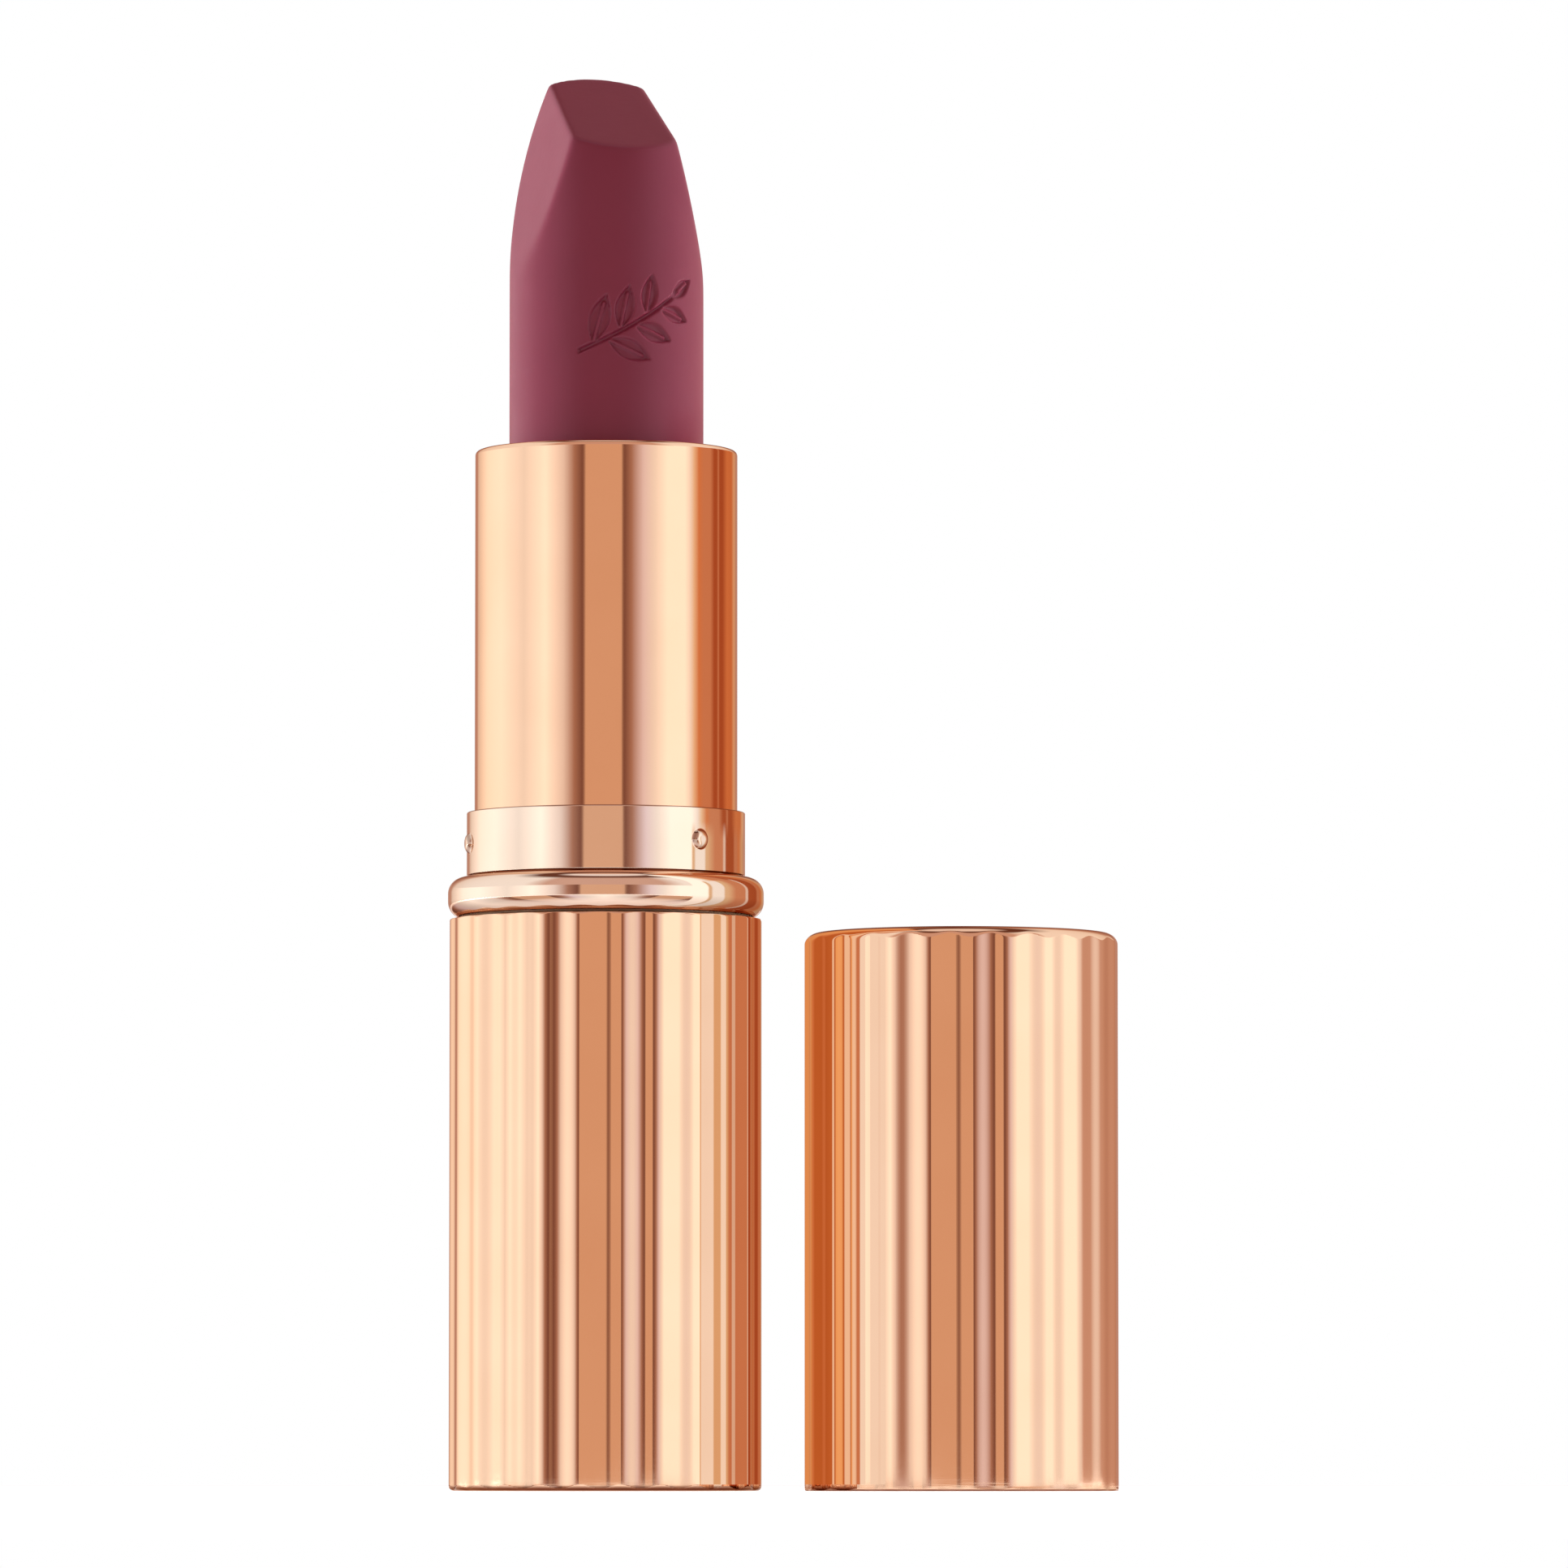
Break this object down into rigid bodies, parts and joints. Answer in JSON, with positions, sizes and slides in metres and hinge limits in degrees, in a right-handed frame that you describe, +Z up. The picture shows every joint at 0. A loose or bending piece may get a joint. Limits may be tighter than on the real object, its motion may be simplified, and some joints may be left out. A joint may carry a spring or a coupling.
{
  "type": "lipstick case",
  "caption": "Twist-up lipstick in a fluted rose gold metal case: turning the smooth upper sleeve raises or lowers the wax stick, and the fluted cap lifts off.",
  "frame": {"origin": "middle of the base's flat underside, on the axis of the case", "axes": "+Z up along the case towards the tip of the stick, -Y towards the front of the picture, +X towards the cap that stands beside it"},
  "size_m": [0.0416, 0.0196, 0.0886],
  "materials": {
    "fluted_metal": "polished rose gold anodised",
    "smooth_metal": "mirror rose gold anodised",
    "moulding": "natural moulded",
    "steel": "plain turned",
    "label": "blank film label",
    "silicone": "moulded silicone",
    "wax": "satin wax"
  },
  "bodies": {
    "base": {"base_shell": "fluted_metal", "base_weight": "steel", "base_insert": "moulding", "shade_label": "label", "bead_ring": "smooth_metal", "collar": "smooth_metal", "guide_tube": "moulding", "friction_ring_lower": "silicone", "friction_ring_upper": "silicone"},
    "twist_sleeve": {"upper_sleeve": "smooth_metal", "spiral_tube": "moulding"},
    "carrier": {"carrier_cup": "moulding", "lipstick_stick": "wax"},
    "cap": {"cap_shell": "fluted_metal", "cap_insert": "moulding"}
  },
  "joints": [
    {"name": "sleeve_twist", "type": "hinge", "parent": "base", "child": "twist_sleeve", "pos_m": [0, 0, 0.0534], "axis": [0, 0, 1], "range_deg": [0, 496.6]},
    {"name": "stick_rise", "type": "slide", "parent": "base", "child": "carrier", "axis": [0, 0, 1], "range_m": [-0.02484, 0]},
    {"name": "cap_lift", "type": "slide", "parent": "base", "child": "cap", "axis": [0, 0, 1], "range_m": [0, 0.09]}
  ],
  "couplings": [
    {"joint": "stick_rise", "follows": "sleeve_twist", "m_per_rad": -0.0028648}
  ]
}
